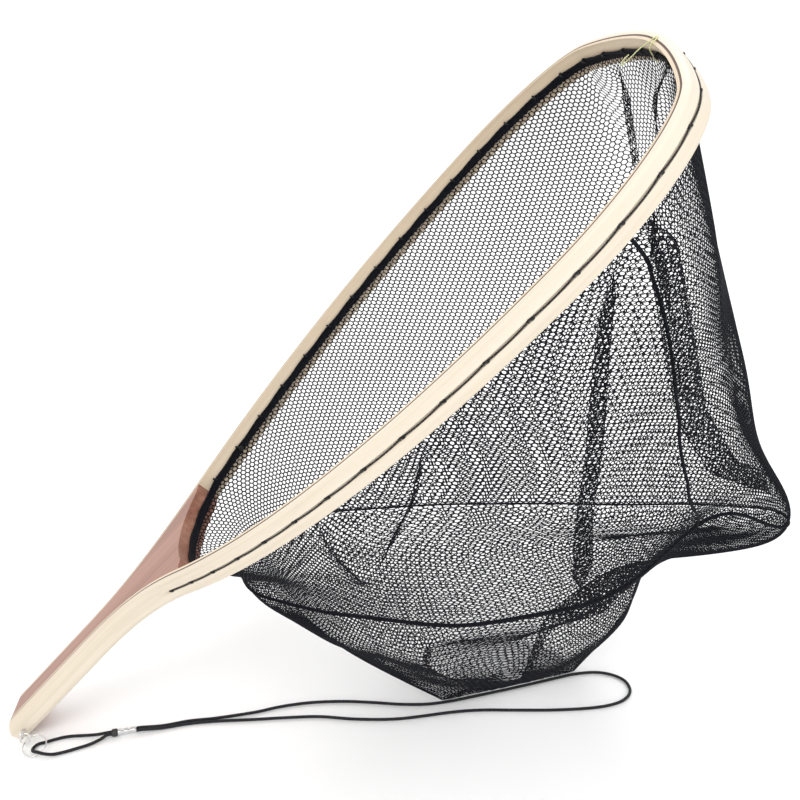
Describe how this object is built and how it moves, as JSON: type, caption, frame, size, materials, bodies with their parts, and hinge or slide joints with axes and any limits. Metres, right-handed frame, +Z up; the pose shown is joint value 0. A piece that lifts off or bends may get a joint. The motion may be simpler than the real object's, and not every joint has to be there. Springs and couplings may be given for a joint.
{
  "type": "landing net",
  "caption": "Hand landing net with a teardrop laminated wooden hoop and handle, a laced mesh bag and an elastic lanyard, standing on its butt and bag.",
  "frame": {"origin": "on the floor, under the middle of the net's length and width as it stands, lanyard not counted", "axes": "+X from the butt of the handle towards the tip of the hoop, +Y to the left across the hoop, +Z up"},
  "size_m": [0.4991, 0.2688, 0.4242],
  "materials": {
    "pale_wood": "satin varnish",
    "dark_veneer": "satin varnish",
    "red_wood": "satin varnish",
    "net": "knotless mesh",
    "hem_cord": "rolled mesh",
    "black_cord": "braided cord",
    "elastic": "braided elastic cord",
    "black_rubber": "matte",
    "steel": "polished",
    "thread": "thin thread"
  },
  "bodies": {
    "net": {"outer_strip_hoop": "pale_wood", "veneer_hoop": "dark_veneer", "inner_strip_hoop": "pale_wood", "handle_core": "red_wood", "net_hem": "hem_cord", "net_wall": "net", "net_bottom": "net", "bottom_seam": "hem_cord", "wall_seam": "hem_cord", "lacing_cord": "black_cord", "lacing_knot_near": "black_cord", "lacing_knot_far": "black_cord", "screw_eye": "steel", "tag_thread": "thread"},
    "lanyard": {"link_ring": "steel", "split_ring": "steel", "lanyard_small_loop": "elastic", "stop_bead": "black_rubber", "crimp_ferrule": "steel", "lanyard_wrist_loop": "elastic"}
  },
  "joints": [
    {"name": "lanyard_swing", "type": "hinge", "parent": "net", "child": "lanyard", "pos_m": [-0.23945, -0.0189, 0.00692], "axis": [0, 0, 1], "range_deg": [-25, 0]}
  ]
}
